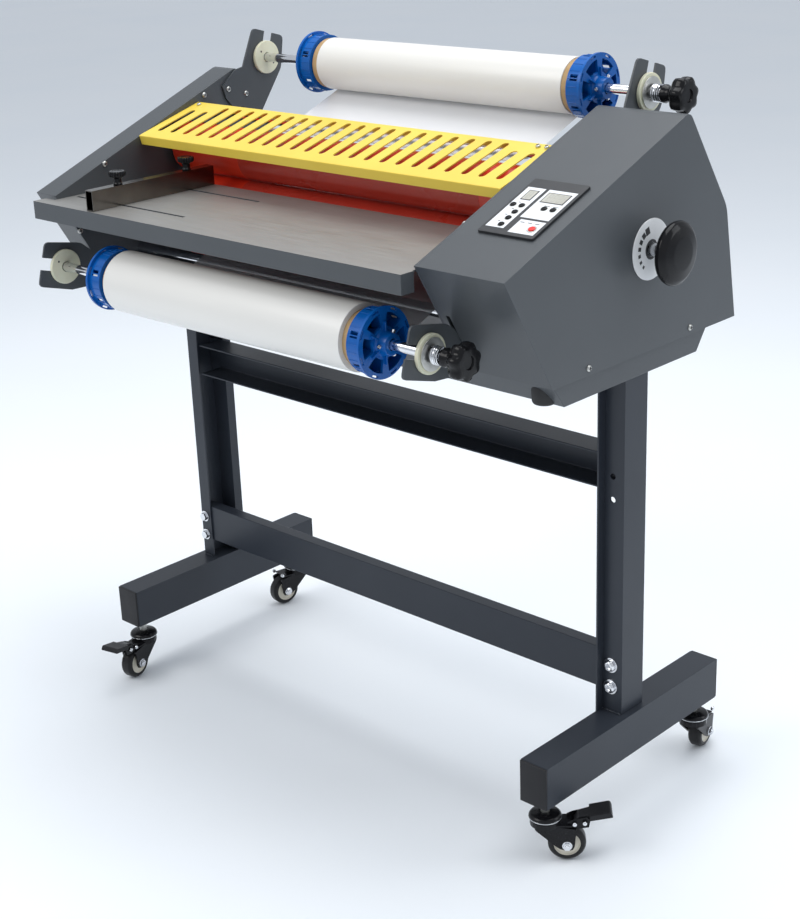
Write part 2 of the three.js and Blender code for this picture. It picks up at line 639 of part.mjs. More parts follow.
for (const [name, { axis, plateLeft, plateRight, radius, filmLeft }] of Object.entries(supplies)) {
  const filmRight = filmLeft + bayWidth - filmRoom;
  const leftHubX = plateLeft + plate + fit;
  const rightHubX = plateRight + plate + fit;
  const springX = rightHubX + hubThickness + washer + 2 * fit;
  const knobX = springX + springLength + fit;
  place(`supply_shaft_${name}`, rodX(shaftRadius, plateLeft - 9, knobX + 24, axis.y, axis.z, 16), "steel");
  place(`supply_hub_${name}_left`, hub(axis, leftHubX, plate + 6), "nylon");
  place(`supply_hub_${name}_right`, hub(axis, rightHubX, plate + 6), "nylon");
  place(`core_chuck_${name}_left`, chuck(axis, filmLeft - chuckStandOff, 1), "blue");
  place(`core_chuck_${name}_right`, chuck(axis, filmRight + chuckStandOff, -1), "blue");
  place(`film_roll_${name}`, turnX([
    [coreRadius, filmLeft - coreStickOut], [coreOuterRadius, filmLeft - coreStickOut],
    [coreOuterRadius, filmLeft], [radius, filmLeft], [radius, filmRight], [coreOuterRadius, filmRight],
    [coreOuterRadius, filmRight + coreStickOut], [coreRadius, filmRight + coreStickOut],
  ], axis.y, axis.z, 34), "film");
  place(`tension_spring_${name}`, spring(axis, springX), "steel");
  place(`tension_knob_${name}`, tensionKnob(axis, knobX), "black");
}

// ---------- controls ----------
const slope = {
  angle: Math.atan2(profile[4][1] - profile[0][1], profile[4][0] - profile[0][0]),
  y: profile[0][0],
  z: profile[0][1],
};
// Lays a piece drawn flat, with x across and y up the slope, onto the sloping top of the right cover.
const onSlope = (piece) => piece
  .rotate([THREE.MathUtils.radToDeg(slope.angle), 0, 0])
  .translate([0, slope.y, slope.z]);
const panelX = bayRight + 33;
const panelStart = 81;
const panelThickness = 3;
const buttonPlace = { x: panelX + panelWidth - 13, y: panelStart + 17 };
place("control_panel", onSlope(cut(
  extrude(outline([
    [panelX, panelStart, 2], [panelX + panelWidth, panelStart, 2],
    [panelX + panelWidth, panelStart + panelLength, 2], [panelX, panelStart + panelLength, 2],
  ]), fit, fit + panelThickness),
  rodZ(buttonRadius + running, buttonPlace.x, buttonPlace.y, 1.2 + fit, panelThickness + 2, 16))), "black");
place("start_button", onSlope(
  rodZ(buttonRadius, buttonPlace.x, buttonPlace.y, 2.5 + fit, panelThickness + 2.2, 16)), "red");

place("pressure_dial", cut(
  rodX(dialRadius, outerRight + fit, outerRight + fit + 1.5, pressureAxis.y, pressureAxis.z, 36),
  rodX(knobShaftRadius + 2.5, outerRight - 1, outerRight + 4, pressureAxis.y, pressureAxis.z, 20)), "film");
const knobFaceX = outerRight + 42;
place("pressure_knob", join(
  turnX([
    [0, knobFaceX - 28], [12, knobFaceX - 28], [14, knobFaceX - 16], [pressureKnobRadius - 8, knobFaceX - 13],
    [pressureKnobRadius, knobFaceX - 7], [pressureKnobRadius, knobFaceX - 2], [pressureKnobRadius - 4, knobFaceX + 2],
    [20, knobFaceX + 6], [0, knobFaceX + 7],
  ], pressureAxis.y, pressureAxis.z, 26),
  rodX(knobShaftRadius, bayRight + plate + 22, knobFaceX - 20, pressureAxis.y, pressureAxis.z, 16),
  rodX(14, bayRight + plate + 22, bayRight + plate + 32, pressureAxis.y - 4, pressureAxis.z, 20)), "black");

const motor = { x: bayRight + plate + 50, y: -20, z: trayBottom + sheet + 44 };
place("drive_motor", join(
  rodX(36, motor.x, motor.x + 66, motor.y, motor.z, 20),
  box(motor.x - 26, motor.x + 0.5, motor.y - 34, motor.y + 34, motor.z - 34, motor.z + 34),
  rodX(6, motor.x - 40, motor.x, motor.y - 12, motor.z + 12, 12),
  box(motor.x - 20, motor.x + 54, motor.y - 24, motor.y + 24, trayBottom + sheet + fit, motor.z - 20)), "steel");

// The origin is at the centre of the footprint, on the floor.
const bounds = new THREE.Box3().setFromObject(machine);
machine.position.set(-(bounds.min.x + bounds.max.x) / 2, -(bounds.min.y + bounds.max.y) / 2, -bounds.min.z);

const laminator = new THREE.Group();
laminator.add(machine);
export default laminator;
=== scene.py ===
import json
import math

import bmesh
import bpy
from mathutils import Matrix, Vector

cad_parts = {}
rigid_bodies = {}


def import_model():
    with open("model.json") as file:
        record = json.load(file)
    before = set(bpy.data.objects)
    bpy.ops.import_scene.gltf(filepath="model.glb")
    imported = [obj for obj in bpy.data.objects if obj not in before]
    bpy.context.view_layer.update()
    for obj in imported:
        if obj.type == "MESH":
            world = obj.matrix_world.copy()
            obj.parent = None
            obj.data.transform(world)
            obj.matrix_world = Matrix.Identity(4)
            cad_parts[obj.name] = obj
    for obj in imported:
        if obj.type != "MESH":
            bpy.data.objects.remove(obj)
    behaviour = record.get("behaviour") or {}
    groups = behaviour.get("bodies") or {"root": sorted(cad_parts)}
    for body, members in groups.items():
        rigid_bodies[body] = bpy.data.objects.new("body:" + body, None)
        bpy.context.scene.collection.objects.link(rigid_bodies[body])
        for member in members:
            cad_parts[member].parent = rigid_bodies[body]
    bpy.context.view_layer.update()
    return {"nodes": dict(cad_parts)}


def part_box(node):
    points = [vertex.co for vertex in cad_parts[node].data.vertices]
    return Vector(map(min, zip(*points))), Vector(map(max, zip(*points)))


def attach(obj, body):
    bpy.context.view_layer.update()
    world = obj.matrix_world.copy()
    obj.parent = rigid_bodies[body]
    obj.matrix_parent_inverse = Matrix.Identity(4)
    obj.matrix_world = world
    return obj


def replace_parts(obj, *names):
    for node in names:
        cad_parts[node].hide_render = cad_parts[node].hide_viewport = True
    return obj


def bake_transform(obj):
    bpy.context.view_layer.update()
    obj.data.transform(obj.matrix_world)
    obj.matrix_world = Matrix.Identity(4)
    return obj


for old in list(bpy.data.objects):
    bpy.data.objects.remove(old, do_unlink=True)

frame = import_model()
nodes = frame["nodes"]

# ---------------------------------------------------------------- places
# Working millimetres count from these two planes of the CAD.
COVER_LEFT_X = -440
FOOT_FRONT_Y = -283
SHIFT_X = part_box("cover_left")[0].x - COVER_LEFT_X / 1000
SHIFT_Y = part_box("foot_left")[0].y - FOOT_FRONT_Y / 1000


def P(x, y, z):
    return Vector((x / 1000 + SHIFT_X, y / 1000 + SHIFT_Y, z / 1000))


def mm(node):
    """The low and high corner of a CAD node's box, in working millimetres."""
    low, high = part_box(node)
    shift = Vector((SHIFT_X, SHIFT_Y, 0))
    return (low - shift) * 1000, (high - shift) * 1000


def centre(node):
    low, high = mm(node)
    return (low + high) / 2


SCALE = Matrix.Scale(0.001, 4)
# Local x, y and z become the machine's y, z and x.
SIDEWAYS = Matrix(((0, 0, 1, 0), (1, 0, 0, 0), (0, 1, 0, 0), (0, 0, 0, 1)))


def along_x(y, z):
    """Local z runs along the machine's x, counted in working millimetres."""
    return Matrix.Translation(P(0, y, z)) @ Matrix.Rotation(math.pi / 2, 4, "Y") @ SCALE


def along_z(x, y, z=0):
    return Matrix.Translation(P(x, y, z)) @ SCALE


def facing(x, y, z, direction):
    """Local z points along direction from that place."""
    turn = Vector(direction).to_track_quat("Z", "Y").to_matrix().to_4x4()
    return Matrix.Translation(P(x, y, z)) @ turn @ SCALE


# ---------------------------------------------------------------- materials
def material(name, base, rough, metal=0.0, second=None, spread=0.5, tint_scale=60.0, rough_spread=0.08,
             bump=0.0, bump_scale=900.0, stretch=(1, 1, 1), coat=0.0, coat_rough=0.08, alpha=1.0,
             transmission=0.0, subsurface=0.0, detail=4.0, specular=0.5, bump_distance=0.0004):
    """A glossy surface whose colour and roughness drift with noise, and which may have a fine grain."""
    m = bpy.data.materials.new(name)
    m.use_nodes = True
    tree = m.node_tree
    bsdf = tree.nodes["Principled BSDF"]
    bsdf.inputs["Metallic"].default_value = metal
    bsdf.inputs["Coat Weight"].default_value = coat
    bsdf.inputs["Coat Roughness"].default_value = coat_rough
    bsdf.inputs["Alpha"].default_value = alpha
    bsdf.inputs["Transmission Weight"].default_value = transmission
    bsdf.inputs["Specular IOR Level"].default_value = specular
    bsdf.inputs["Subsurface Weight"].default_value = subsurface
    coord = tree.nodes.new("ShaderNodeTexCoord")
    mapping = tree.nodes.new("ShaderNodeMapping")
    mapping.inputs["Scale"].default_value = stretch
    tree.links.new(coord.outputs["Object"], mapping.inputs["Vector"])
    tint = tree.nodes.new("ShaderNodeTexNoise")
    tint.inputs["Scale"].default_value = tint_scale
    tint.inputs["Detail"].default_value = detail
    tree.links.new(mapping.outputs["Vector"], tint.inputs["Vector"])
    ramp = tree.nodes.new("ShaderNodeValToRGB")
    ramp.color_ramp.elements[0].position = 0.5 - spread / 2
    ramp.color_ramp.elements[1].position = 0.5 + spread / 2
    other = second or tuple(c * 0.82 for c in base)
    ramp.color_ramp.elements[0].color = (*other, 1)
    ramp.color_ramp.elements[1].color = (*base, 1)
    tree.links.new(tint.outputs["Fac"], ramp.inputs["Fac"])
    tree.links.new(ramp.outputs["Color"], bsdf.inputs["Base Color"])
    smudge = tree.nodes.new("ShaderNodeTexNoise")
    smudge.inputs["Scale"].default_value = tint_scale * 0.35
    smudge.inputs["Detail"].default_value = 6.0
    tree.links.new(mapping.outputs["Vector"], smudge.inputs["Vector"])
    span = tree.nodes.new("ShaderNodeMapRange")
    span.inputs["From Min"].default_value = 0.3
    span.inputs["From Max"].default_value = 0.7
    span.inputs["To Min"].default_value = max(0.02, rough - rough_spread)
    span.inputs["To Max"].default_value = min(1.0, rough + rough_spread)
    tree.links.new(smudge.outputs["Fac"], span.inputs["Value"])
    tree.links.new(span.outputs["Result"], bsdf.inputs["Roughness"])
    if bump:
        grain = tree.nodes.new("ShaderNodeTexNoise")
        grain.inputs["Scale"].default_value = bump_scale
        grain.inputs["Detail"].default_value = 3.0
        tree.links.new(mapping.outputs["Vector"], grain.inputs["Vector"])
        raise_up = tree.nodes.new("ShaderNodeBump")
        raise_up.inputs["Strength"].default_value = bump
        raise_up.inputs["Distance"].default_value = bump_distance
        tree.links.new(grain.outputs["Fac"], raise_up.inputs["Height"])
        tree.links.new(raise_up.outputs["Normal"], bsdf.inputs["Normal"])
    return m


PAINT = material("charcoal_powder_coat", (0.060, 0.067, 0.074), 0.38, second=(0.053, 0.060, 0.067),
                 tint_scale=9, rough_spread=0.06, bump=0.22, bump_scale=1500, coat=0.12, coat_rough=0.3,
                 specular=0.45)
# Painted shade: the stand's coat is the covers' charcoal paint drawn darker and bluer for the shade under the machine.
SHADED_STAND_COAT = material("charcoal_coat_painted_shade", (0.030, 0.036, 0.047), 0.38, second=(0.025, 0.030, 0.040),
                 tint_scale=9, rough_spread=0.07, bump=0.25, bump_scale=1300, coat=0.05, coat_rough=0.3,
                 specular=0.28)
YELLOW = material("yellow_powder_coat", (0.80, 0.60, 0.075), 0.42, second=(0.74, 0.54, 0.06), tint_scale=10,
                  rough_spread=0.08, bump=0.16, bump_scale=1300, coat=0.15, coat_rough=0.25)
TABLE = material("brushed_table_steel", (0.37, 0.365, 0.35), 0.44, metal=0.7, second=(0.34, 0.335, 0.322),
                 spread=0.7, tint_scale=9, rough_spread=0.05, bump=0.05, bump_scale=60, stretch=(4, 50, 50),
                 detail=6)
DARK_STEEL = material("dark_polished_steel", (0.17, 0.16, 0.145), 0.20, metal=1.0,
                      second=(0.12, 0.11, 0.10), spread=0.7, tint_scale=18, rough_spread=0.06, bump=0.05,
                      bump_scale=300, stretch=(30, 3, 3))
STEEL = material("bright_turned_steel", (0.66, 0.67, 0.69), 0.24, metal=1.0, second=(0.52, 0.53, 0.56),
                 spread=0.8, tint_scale=40, rough_spread=0.08, bump=0.06, bump_scale=300, stretch=(40, 4, 4))
CHROME = material("polished_chrome", (0.80, 0.81, 0.83), 0.10, metal=1.0, second=(0.70, 0.71, 0.74),
                  tint_scale=30, rough_spread=0.04)
ZINC = material("zinc_plate", (0.60, 0.60, 0.58), 0.34, metal=1.0, second=(0.48, 0.48, 0.45), spread=0.6,
                tint_scale=120, rough_spread=0.12, bump=0.1, bump_scale=700)
SILICONE = material("red_silicone", (0.80, 0.050, 0.018), 0.30, second=(0.70, 0.038, 0.014), tint_scale=14,
                    rough_spread=0.08, bump=0.06, bump_scale=500, coat=0.25, coat_rough=0.25)
GLOSS_BLACK = material("gloss_black_plastic", (0.010, 0.010, 0.011), 0.16, second=(0.006, 0.006, 0.007),
                       tint_scale=30, rough_spread=0.06, bump=0.05, bump_scale=500, coat=0.05,
                       coat_rough=0.06, specular=0.18)
SATIN_BLACK = material("satin_black_plastic", (0.016, 0.016, 0.018), 0.42, second=(0.011, 0.011, 0.013),
                       tint_scale=40, rough_spread=0.1, bump=0.25, bump_scale=1400, specular=0.25)
CASTER = material("caster_black_enamel", (0.008, 0.008, 0.010), 0.22, second=(0.005, 0.005, 0.006),
                  tint_scale=60, rough_spread=0.08, bump=0.12, bump_scale=900, coat=0.08, coat_rough=0.12,
                  specular=0.2)
TYRE = material("polyurethane_tyre", (0.012, 0.012, 0.013), 0.36, second=(0.018, 0.018, 0.018),
                tint_scale=90, rough_spread=0.12, bump=0.25, bump_scale=1100, specular=0.25)
CREAM = material("cream_hub_plastic", (0.72, 0.68, 0.58), 0.35, second=(0.64, 0.60, 0.50), tint_scale=60,
                 rough_spread=0.06, bump=0.1, bump_scale=900)
NYLON = material("cast_nylon", (0.74, 0.72, 0.55), 0.38, second=(0.66, 0.64, 0.47), tint_scale=45,
                 rough_spread=0.08, bump=0.12, bump_scale=700, subsurface=0.05)
BLUE = material("blue_moulded_plastic", (0.003, 0.110, 0.43), 0.22, second=(0.002, 0.085, 0.34),
                tint_scale=25, rough_spread=0.07, bump=0.10, bump_scale=900, coat=0.05, specular=0.3)
FILM = material("wound_film", (0.76, 0.745, 0.71), 0.40, second=(0.71, 0.695, 0.66), spread=0.8,
                tint_scale=3, rough_spread=0.08, bump=0.05, bump_scale=90, stretch=(1, 6, 6), coat=0.3,
                coat_rough=0.25)
BAND = material("film_end_layers", (0.78, 0.74, 0.66), 0.6, second=(0.60, 0.55, 0.47), spread=0.7,
                tint_scale=500, bump=0.3, bump_scale=900)
CARD = material("cardboard_core", (0.50, 0.34, 0.17), 0.75, second=(0.38, 0.24, 0.11), spread=0.6,
                tint_scale=90, bump=0.35, bump_scale=500)
WEB = material("clear_film_web", (0.80, 0.80, 0.81), 0.22, second=(0.72, 0.72, 0.74), tint_scale=5,
               spread=0.8, rough_spread=0.08, bump=0.12, bump_scale=14, stretch=(1, 3, 3), alpha=0.88,
               coat=0.4)
CLING = material("film_on_roller", (0.55, 0.10, 0.08), 0.14, second=(0.45, 0.07, 0.05), tint_scale=8,
                 spread=0.8, rough_spread=0.05, bump=0.1, bump_scale=20, alpha=0.35, coat=0.6)
# Painted shade: a darker copy of the clear film, for where it runs under the table and round the idler.
SHADED_WEB_FILM = material("film_web_painted_shade", (0.50, 0.49, 0.51), 0.18, second=(0.35, 0.34, 0.37), tint_scale=8,
                      spread=0.8, rough_spread=0.05, bump=0.1, bump_scale=20, alpha=0.92, coat=0.5)
RED = material("red_button_plastic", (0.80, 0.03, 0.02), 0.25, second=(0.70, 0.02, 0.015), tint_scale=80,
               rough_spread=0.05, bump=0.05, bump_scale=800, coat=0.4)
PANEL = material("panel_membrane", (0.020, 0.021, 0.024), 0.42, second=(0.026, 0.027, 0.030), tint_scale=50,
                 rough_spread=0.06, bump=0.2, bump_scale=1800)
LABEL = material("panel_white_print", (0.80, 0.82, 0.84), 0.40, second=(0.74, 0.76, 0.79), tint_scale=50,
                 rough_spread=0.06, bump=0.15, bump_scale=1800)
WINDOW = material("display_window", (0.55, 0.54, 0.48), 0.12, second=(0.48, 0.47, 0.41), tint_scale=60,
                  rough_spread=0.04, coat=0.6)
SEGMENT = material("display_segments", (0.33, 0.32, 0.29), 0.3, second=(0.28, 0.27, 0.24), tint_scale=60)
# Dark print on the panel and dial; also painted shade in the screw heads' cross recesses.
PRINT_AND_SHADE = material("dark_print_and_painted_shade", (0.02, 0.02, 0.022), 0.5, second=(0.03, 0.03, 0.032), tint_scale=80)
DIAL = material("dial_white", (0.80, 0.81, 0.82), 0.36, second=(0.72, 0.73, 0.74), tint_scale=30,
                rough_spread=0.06, bump=0.12, bump_scale=1200)
RUBBER = material("foot_rubber", (0.012, 0.012, 0.013), 0.62, second=(0.020, 0.020, 0.021), tint_scale=100,
                  bump=0.3, bump_scale=900)


# ---------------------------------------------------------------- piece building
def piece(name, bm, mat, body, sharp=32):
    """Turns a finished mesh into a named piece that rides a body."""
    bmesh.ops.remove_doubles(bm, verts=bm.verts, dist=1e-7)
    bmesh.ops.recalc_face_normals(bm, faces=bm.faces)
    mesh = bpy.data.meshes.new(name)
    bm.to_mesh(mesh)
    bm.free()
    for polygon in mesh.polygons:
        polygon.use_smooth = True
    mesh.set_sharp_from_angle(angle=math.radians(sharp))
    for one in mat if isinstance(mat, (list, tuple)) else [mat]:
        mesh.materials.append(one)
    obj = bpy.data.objects.new(name, mesh)
    bpy.context.scene.collection.objects.link(obj)
    if body:
        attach(obj, body)
    return obj


def lathe(bm, profile, matrix, steps=64, closed=True, lobes=0, mat=0):
    """Turns (radius, height[, lobe depth]) points about the local z axis."""
    rings = []
    for point in profile:
        r, h = point[0], point[1]
        depth = point[2] if len(point) > 2 else 0.0
        if r < 1e-6:
            rings.append([bm.verts.new(matrix @ Vector((0, 0, h)))])
            continue
        ring = []
        for i in range(steps):
            a = 2 * math.pi * i / steps
            rr = r + depth * (math.cos(a * lobes) - 1) / 2 if lobes else r
            ring.append(bm.verts.new(matrix @ Vector((rr * math.cos(a), rr * math.sin(a), h))))
        rings.append(ring)
    pairs = list(zip(rings, rings[1:]))
    if closed and len(rings[0]) > 1 and len(rings[-1]) > 1:
        pairs.append((rings[-1], rings[0]))
    for low, high in pairs:
        for i in range(steps):
            j = (i + 1) % steps
            if len(low) == 1 and len(high) == 1:
                break
            if len(low) == 1:
                face = bm.faces.new((low[0], high[j], high[i]))
            elif len(high) == 1:
                face = bm.faces.new((low[i], low[j], high[0]))
            else:
                face = bm.faces.new((low[i], low[j], high[j], high[i]))
            face.material_index = mat
    return bm


def rounded(points, radius, steps=4):
    """A (radius, height) profile with each of its inner corners rounded."""
    out = [points[0]]
    for i in range(1, len(points) - 1):
        a, b, c = (Vector(p[:2]) for p in (points[i - 1], points[i], points[i + 1]))
        ra = min(radius, (a - b).length * 0.45, (c - b).length * 0.45)
        start, end = b + (a - b).normalized() * ra, b + (c - b).normalized() * ra
        for k in range(steps + 1):
            t = k / steps
            q = start * (1 - t) ** 2 + b * 2 * t * (1 - t) + end * t * t
            out.append((q.x, q.y, *points[i][2:]))
    out.append(points[-1])
    return out


def block(bm, size, matrix, bevel=0.0, segments=2, mat=0):
    """A box of that size in millimetres, centred on the matrix, with rounded edges."""
    made = bmesh.ops.create_cube(bm, size=1.0, matrix=matrix @ Matrix.Diagonal((*size, 1)))
    faces = {f for v in made["verts"] for f in v.link_faces}
    for f in faces:
        f.material_index = mat
    if bevel:
        edges = {e for v in made["verts"] for e in v.link_edges}
        bmesh.ops.bevel(bm, geom=list(edges), offset=bevel / 1000, segments=segments, profile=0.6,
                        affect="EDGES", clamp_overlap=True, material=mat)
    return bm


def prism(bm, outline, low, high, matrix, mat=0):
    """An outline in local x and y, drawn out from low to high."""
    bottom = [bm.verts.new(matrix @ Vector((u, v, low))) for u, v in outline]
    top = [bm.verts.new(matrix @ Vector((u, v, high))) for u, v in outline]
    count = len(outline)
    faces = [bm.faces.new(bottom[::-1]), bm.faces.new(top)]
    for i in range(count):
        j = (i + 1) % count
        faces.append(bm.faces.new((bottom[i], bottom[j], top[j], top[i])))
    for f in faces:
        f.material_index = mat
    return bm


def polar_plate(bm, radii, low, high, matrix, skip=lambda i, k: False, steps=120):
    """A ring plate with every cell left out for which skip(ring, step) is true."""
    def vert(cache, i, k, h):
        key = (i, k % steps, h)
        if key not in cache:
            a = 2 * math.pi * k / steps
            at = Vector((radii[i] * math.cos(a), radii[i] * math.sin(a), h))
            cache[key] = bm.verts.new(matrix @ at)
        return cache[key]

    cache = {}
    rings = len(radii) - 1

    def there(i, k):
        return 0 <= i < rings and not skip(i, k % steps)

    for i in range(rings):
        for k in range(steps):
            if not there(i, k):
                continue
            for h, flip in ((low, True), (high, False)):
                quad = [vert(cache, i + di, k + dk, h) for di, dk in ((0, 0), (1, 0), (1, 1), (0, 1))]
                bm.faces.new(quad[::-1] if flip else quad)
            # A wall wherever the cell beside this one is left out.
            for di, dk, ends in ((-1, 0, ((i, k), (i, k + 1))), (1, 0, ((i + 1, k + 1), (i + 1, k))),
                                 (0, -1, ((i + 1, k), (i, k))), (0, 1, ((i, k + 1), (i + 1, k + 1)))):
                if not there(i + di, k + dk):
                    (a, b), (c, d) = ends
                    bm.faces.new((vert(cache, a, b, low), vert(cache, c, d, low), vert(cache, c, d, high),
                                  vert(cache, a, b, high)))
    return bm


def tube(bm, points, radius, sides=8, matrix=Matrix.Identity(4)):
    """A round wire through the points, with closed ends."""
    rings = []
    normal = None
    for i, p in enumerate(points):
        ahead = points[min(i + 1, len(points) - 1)] - points[max(i - 1, 0)]
        ahead.normalize()
        if normal is None:
            normal = ahead.orthogonal().normalized()
        normal = (normal - ahead * normal.dot(ahead)).normalized()
        across = ahead.cross(normal)
        r = radius[i] if isinstance(radius, list) else radius
        rings.append([bm.verts.new(matrix @ (p + (normal * math.cos(a) + across * math.sin(a)) * r))
                      for a in (2 * math.pi * k / sides for k in range(sides))])
    for low, high in zip(rings, rings[1:]):
        for k in range(sides):
            j = (k + 1) % sides
            bm.faces.new((low[k], low[j], high[j], high[k]))
    bm.faces.new(rings[0][::-1])
    bm.faces.new(rings[-1])
    return bm


def hexagon(radius):
    return [(radius * math.cos(math.pi * k / 3), radius * math.sin(math.pi * k / 3)) for k in range(6)]


# ---------------------------------------------------------------- CAD nodes that stay
def dress(node, mat, bevel, segments=2):
    """Gives a CAD node its materials and softens its edges, with the bevel in millimetres."""
    obj = nodes[node]
    obj.data.materials.clear()
    for one in mat if isinstance(mat, (list, tuple)) else [mat]:
        obj.data.materials.append(one)
    weld = obj.modifiers.new("weld", "WELD")
    weld.merge_threshold = 1e-6
    if bevel:
        soft = obj.modifiers.new("edges", "BEVEL")
        soft.width = bevel / 1000
        soft.segments = segments
        soft.limit_method = "ANGLE"
        soft.angle_limit = math.radians(40)
        soft.use_clamp_overlap = True
        soft.harden_normals = False
    return obj


# The stand and its weld beads take the darker coat, which holds painted shade.
for n in ("foot_left", "foot_right", "upright_left", "upright_right", "crossbar_lower", "crossbar_upper"):
    dress(n, SHADED_STAND_COAT, 0.9)
for n in ("base_tray", "cover_left", "cover_right"):
    dress(n, PAINT, 0.8)
for n in ("supply_fork_upper_left", "supply_fork_upper_right", "supply_fork_lower_right"):
    dress(n, PAINT, 0.5)
for n in ("side_plate_left", "side_plate_right"):
    dress(n, PAINT, 0.4)
dress("heat_guard", YELLOW, 0.0)
dress("side_guide", DARK_STEEL, 0.3)
for n in ("carriage_left", "carriage_right", "drive_motor"):
    dress(n, ZINC, 0.6)
dress("control_panel", PANEL, 0.5)
dress("start_button", RED, 0.6)
dress("pressure_dial", DIAL, 0.0)
for corner in ("front_right", "front_left", "rear_right", "rear_left"):
    dress("caster_stem_" + corner, ZINC, 0.5)
    dress("caster_fork_" + corner, CASTER, 0.6)
for corner in ("front_right", "front_left"):
    dress("brake_pedal_" + corner, SATIN_BLACK, 1.0)

table = dress("feed_table", [TABLE, PAINT], 0.5)
table_top = mm("feed_table")[1].z
for polygon in table.data.polygons:  # brushed on top, painted on the folded sides
    flat = polygon.normal.z > 0.9 and polygon.center.z * 1000 > table_top - 0.5
    polygon.material_index = 0 if flat else 1

# ---------------------------------------------------------------- rollers and idlers
SLEEVE_ENDS = (-385.0, 285.0)
for name, body in (("roller_lower", "lower_roller"), ("roller_upper", "upper_roller")):
    low, high = mm(name)
    mid = (low + high) / 2
    r = (high.z - low.z) / 2
    left, right = SLEEVE_ENDS
    bm = bmesh.new()
    M = along_x(mid.y, mid.z)
    lathe(bm, rounded([(12, left), (r - 0.2, left), (r - 0.2, right), (12, right)], 1.2), M, 96)
    lathe(bm, [(0, left - 3.8), (15.5, left - 3.8), (15.5, right + 3.8), (0, right + 3.8)], M, 48, mat=1)
    lathe(bm, rounded([(0, low.x), (9.8, low.x), (9.8, high.x), (0, high.x)], 1), M, 40, mat=1)
    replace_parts(piece(name + "_turned", bm, [SILICONE, STEEL], body), name)

for name, body in (("idler_lower", "lower_idler"), ("idler_upper", "upper_idler")):
    low, high = mm(name)
    mid = (low + high) / 2
    bm = bmesh.new()
    M = along_x(mid.y, mid.z)
    lathe(bm, rounded([(0, low.x + 6), (8.9, low.x + 6), (8.9, high.x - 6), (0, high.x - 6)], 0.8), M, 48)
    lathe(bm, [(0, low.x), (3.9, low.x), (3.9, high.x), (0, high.x)], M, 24)
    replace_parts(piece(name + "_bar", bm, CHROME, body), name)

# ---------------------------------------------------------------- film supply
CORE_END = 10
CORE_RADIUS = 36
LAYER = 0.9


def windows(ring, step):
    """Six windows in the chuck's face and eight notches in its flange."""
    return (ring in (1, 2) and 3 <= step % 20 < 17) or (ring == 4 and 4 <= step % 15 < 9)


def band_slots(ring, step):
    return step % 20 < 4


